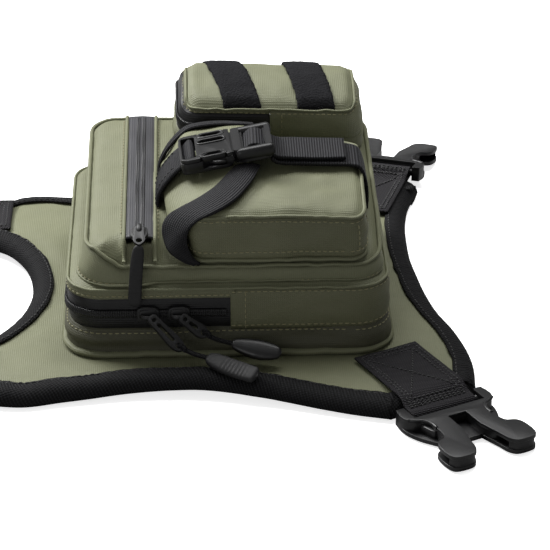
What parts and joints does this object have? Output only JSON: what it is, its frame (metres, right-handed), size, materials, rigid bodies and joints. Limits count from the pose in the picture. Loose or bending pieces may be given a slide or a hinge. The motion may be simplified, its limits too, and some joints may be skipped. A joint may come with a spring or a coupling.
{
  "type": "safety harness vest",
  "caption": "Chest-rig harness vest: bound carrier panel with stacked zip pouches, a buckled flap pocket and webbing wings ending in side-release clips.",
  "frame": {"origin": "centre of the flat back lining, under the middle of the main pouch", "axes": "+Z out of the wearer's chest, -X towards the neck, +X towards the waist, -Y the wearer's right side"},
  "size_m": [0.3811, 0.3864, 0.1146],
  "materials": {
    "olive_fabric": "coated woven cloth, matte",
    "black_lining": "woven mesh lining, matte",
    "binding_tape": "ribbed grosgrain tape",
    "webbing": "ribbed woven webbing",
    "zip_tape": "coated zip tape, satin",
    "zip_coil": "moulded coil",
    "loop_pile": "fuzzy loop pile",
    "buckle_plastic": "satin moulded plastic",
    "slider_metal": "glossy black enamel",
    "pull_rubber": "moulded rubber",
    "pull_cord": "braided cord"
  },
  "bodies": {
    "vest": {"back_lining": "black_lining", "closure_strap_lower": "webbing", "closure_strap_tail": "webbing", "closure_webbing_lower": "webbing", "flap_binding_lower": "binding_tape", "flap_lower": "olive_fabric", "flap_pocket_top": "olive_fabric", "flap_pocket_walls": "olive_fabric", "front_pocket_edge_face": "olive_fabric", "front_pocket_face": "olive_fabric", "front_pocket_gusset": "olive_fabric", "front_zip_band": "zip_tape", "front_zip_coil": "zip_coil", "front_zip_garage": "olive_fabric", "left_side_binding": "binding_tape", "loop_strip_inner": "loop_pile", "loop_strip_outer": "loop_pile", "main_end_gusset": "olive_fabric", "main_front_panel": "olive_fabric", "main_lower_gusset": "olive_fabric", "main_zip_band": "zip_tape", "main_zip_coil": "zip_coil", "neck_binding": "binding_tape", "right_side_binding": "binding_tape", "strap_patch_shoulder_left": "webbing", "strap_patch_shoulder_right": "webbing", "strap_patch_waist_left": "webbing", "strap_patch_waist_right": "webbing", "upper_end_gusset": "olive_fabric", "upper_pocket_gusset": "olive_fabric", "upper_pocket_top": "olive_fabric", "upper_zip_band": "zip_tape", "upper_zip_coil": "zip_coil", "vest_panel": "olive_fabric", "waist_binding": "binding_tape"},
    "flap": {"flap_upper": "olive_fabric", "flap_binding_near": "binding_tape", "flap_binding_far": "binding_tape", "closure_webbing_upper": "webbing", "closure_buckle_female": "buckle_plastic"},
    "closure_clip": {"closure_buckle_male": "buckle_plastic"},
    "clip_waist_right": {"buckle_waist_right": "buckle_plastic"},
    "clip_waist_left": {"buckle_waist_left": "buckle_plastic"},
    "clip_shoulder_right": {"buckle_shoulder_right": "buckle_plastic"},
    "clip_shoulder_left": {"buckle_shoulder_left": "buckle_plastic"},
    "main_zip_slider_1": {"main_slider_1": "slider_metal"},
    "main_pull_1": {"main_1_pull_tab": "slider_metal", "main_1_pull_cord": "pull_cord", "main_1_pull_grip": "pull_rubber"},
    "main_zip_slider_2": {"main_slider_2": "slider_metal"},
    "main_pull_2": {"main_2_pull_tab": "slider_metal", "main_2_pull_cord": "pull_cord", "main_2_pull_grip": "pull_rubber"},
    "front_zip_slider": {"front_slider": "slider_metal"},
    "front_pull": {"front_pull_tab": "slider_metal"},
    "upper_zip_slider": {"upper_slider": "slider_metal"},
    "upper_pull": {"upper_pull_tab": "slider_metal", "upper_pull_cord": "pull_cord", "upper_pull_grip": "pull_rubber"}
  },
  "joints": [
    {"name": "flap_open", "type": "hinge", "parent": "vest", "child": "flap", "pos_m": [-0.0365, -0.024, 0.0885], "axis": [0, -1, 0], "range_deg": [0, 160], "deforming": ["closure_buckle_male"]},
    {"name": "closure_release", "type": "slide", "parent": "vest", "child": "closure_clip", "axis": [0.9835, 0.0515, 0.1736], "range_m": [0, 0.024], "deforming": ["closure_strap_lower", "closure_strap_tail"]},
    {"name": "buckle_tilt_waist_right", "type": "hinge", "parent": "vest", "child": "clip_waist_right", "pos_m": [0.1065, -0.133, 0.005], "axis": [-0.891, -0.454, 0], "range_deg": [0, 85]},
    {"name": "buckle_tilt_waist_left", "type": "hinge", "parent": "vest", "child": "clip_waist_left", "pos_m": [0.094, 0.144, 0.0128], "axis": [0.9511, -0.309, 0], "range_deg": [0, 85]},
    {"name": "buckle_tilt_shoulder_right", "type": "hinge", "parent": "vest", "child": "clip_shoulder_right", "pos_m": [-0.18, -0.089, 0.005], "axis": [0, 1, 0], "range_deg": [0, 85]},
    {"name": "buckle_tilt_shoulder_left", "type": "hinge", "parent": "vest", "child": "clip_shoulder_left", "pos_m": [-0.18, 0.089, 0.005], "axis": [0, 1, 0], "range_deg": [0, 85]},
    {"name": "main_zip_slide_1", "type": "slide", "parent": "vest", "child": "main_zip_slider_1", "axis": [-1, 0, 0], "range_m": [0, 0.018]},
    {"name": "main_pull_swing_1", "type": "hinge", "parent": "main_zip_slider_1", "child": "main_pull_1", "pos_m": [-0.041, -0.086, 0.0345], "axis": [-0.4731, -0.881, 0], "range_deg": [0, 60]},
    {"name": "main_zip_slide_2", "type": "slide", "parent": "vest", "child": "main_zip_slider_2", "axis": [1, 0, 0], "range_m": [0, 0.02]},
    {"name": "main_pull_swing_2", "type": "hinge", "parent": "main_zip_slider_2", "child": "main_pull_2", "pos_m": [-0.025, -0.086, 0.0345], "axis": [-0.2108, -0.9775, 0], "range_deg": [0, 60]},
    {"name": "front_zip_slide", "type": "slide", "parent": "vest", "child": "front_zip_slider", "axis": [0, 0.9982, 0.0599], "range_m": [0, 0.132], "deforming": ["front_pull_tab"]},
    {"name": "front_pull_swing", "type": "hinge", "parent": "front_zip_slider", "child": "front_pull", "pos_m": [-0.047, -0.0766, 0.07291], "axis": [-1, 0, 0], "range_deg": [0, 80], "deforming": ["front_pull_tab"]},
    {"name": "upper_zip_slide", "type": "slide", "parent": "vest", "child": "upper_zip_slider", "axis": [0.9996, 0, -0.0294], "range_m": [-0.005, 0.024]},
    {"name": "upper_pull_swing", "type": "hinge", "parent": "upper_zip_slider", "child": "upper_pull", "pos_m": [-0.006, 0.0864, 0.09928], "axis": [1, 0, 0], "range_deg": [0, 90]}
  ],
  "couplings": [
    {"joint": "front_pull_swing", "follows": "front_zip_slide", "rad_per_m": 10.445}
  ]
}
